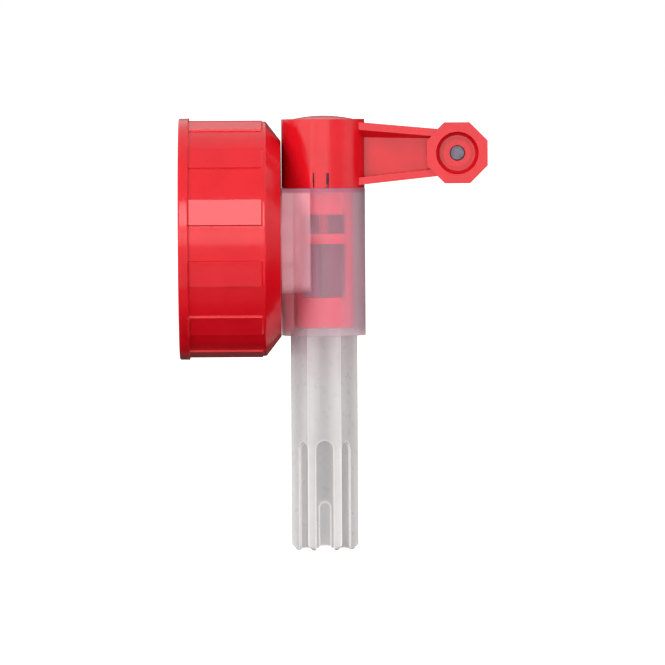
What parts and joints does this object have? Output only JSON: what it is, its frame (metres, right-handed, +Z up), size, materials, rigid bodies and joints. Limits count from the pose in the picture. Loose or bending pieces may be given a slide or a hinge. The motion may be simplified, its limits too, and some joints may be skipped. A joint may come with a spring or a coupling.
{
  "type": "canister dispensing tap",
  "caption": "Vented plug-valve tap on a screw cap for a canister neck, with a translucent barrel, a quarter-turn lever and a long fluted hexagonal spout.",
  "frame": {"origin": "centre of the screw cap's open mouth, where the canister's neck enters", "axes": "+X along the cap's axis from the mouth towards the barrel and on along the closed lever, +Z up along the barrel away from the spout, +Y away from the viewer who sees the lever point right"},
  "size_m": [0.0921, 0.072, 0.1295],
  "materials": {
    "red_cap": "moulded opaque red polypropylene with a soft gloss",
    "red_lever": "moulded opaque red polypropylene with a soft gloss",
    "red_plug": "moulded opaque red polypropylene, seen through the barrel",
    "natural_barrel": "moulded natural polyethylene, milky and translucent",
    "natural_spout": "moulded natural polyethylene, milky and translucent",
    "seal": "smooth moulded rubber",
    "steel": "plain drawn steel with a cut end"
  },
  "bodies": {
    "housing": {"tap_housing": "natural_barrel", "spout_tube": "natural_spout", "retaining_ring": "natural_barrel", "shank_o_ring": "seal", "neck_gasket": "seal"},
    "cap": {"screw_cap": "red_cap"},
    "valve": {"valve_plug": "red_plug", "plug_o_ring": "seal", "air_tube": "natural_spout", "lever": "red_lever", "hub_cap": "red_lever", "hub_screw": "steel", "lever_pin": "steel"}
  },
  "joints": [
    {"name": "cap_spin", "type": "hinge", "parent": "housing", "child": "cap", "pos_m": [0, 0, 0], "axis": [1, 0, 0], "continuous": true},
    {"name": "valve_turn", "type": "hinge", "parent": "housing", "child": "valve", "pos_m": [0.043, 0, 0], "axis": [0, 0, 1], "range_deg": [-90, 90]}
  ]
}
